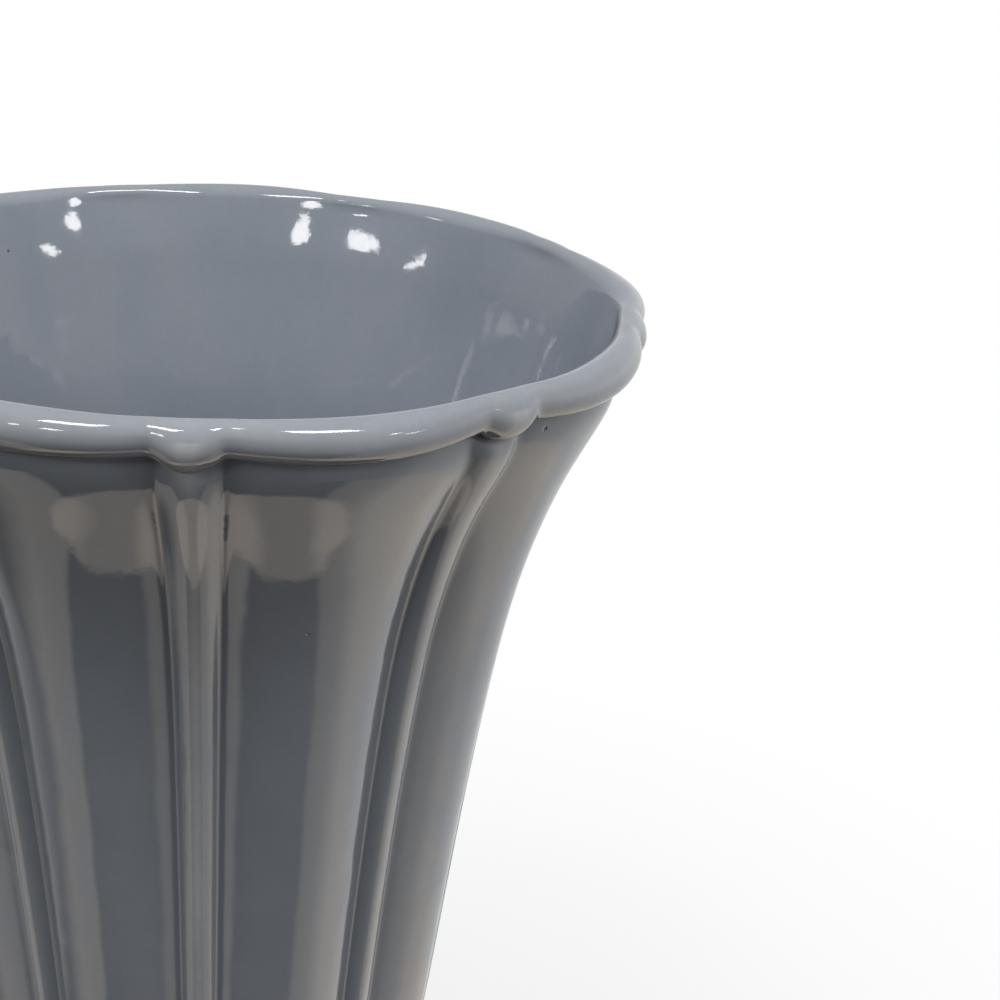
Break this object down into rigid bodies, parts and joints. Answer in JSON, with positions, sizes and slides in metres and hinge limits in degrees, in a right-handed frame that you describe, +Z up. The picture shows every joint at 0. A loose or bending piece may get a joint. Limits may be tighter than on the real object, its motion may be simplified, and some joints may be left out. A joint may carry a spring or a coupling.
{
  "type": "urn vase",
  "caption": "Fluted trumpet-shaped urn vase with a rolled, beaded lip on a round hollow pedestal foot, in glazed ceramic.",
  "frame": {"origin": "centre of the standing face, under the pedestal foot", "axes": "+Z up along the vase's axis; one rib of the body faces -Y"},
  "size_m": [0.1801, 0.1796, 0.2694],
  "materials": {
    "body_glaze": "gloss",
    "waist_glaze": "gloss",
    "foot_glaze": "gloss",
    "slip_clay": "matte"
  },
  "bodies": {
    "root": {"fluted_body": "body_glaze", "waist_ring": "waist_glaze", "joining_slip": "slip_clay", "pedestal_foot": "foot_glaze"}
  },
  "joints": []
}
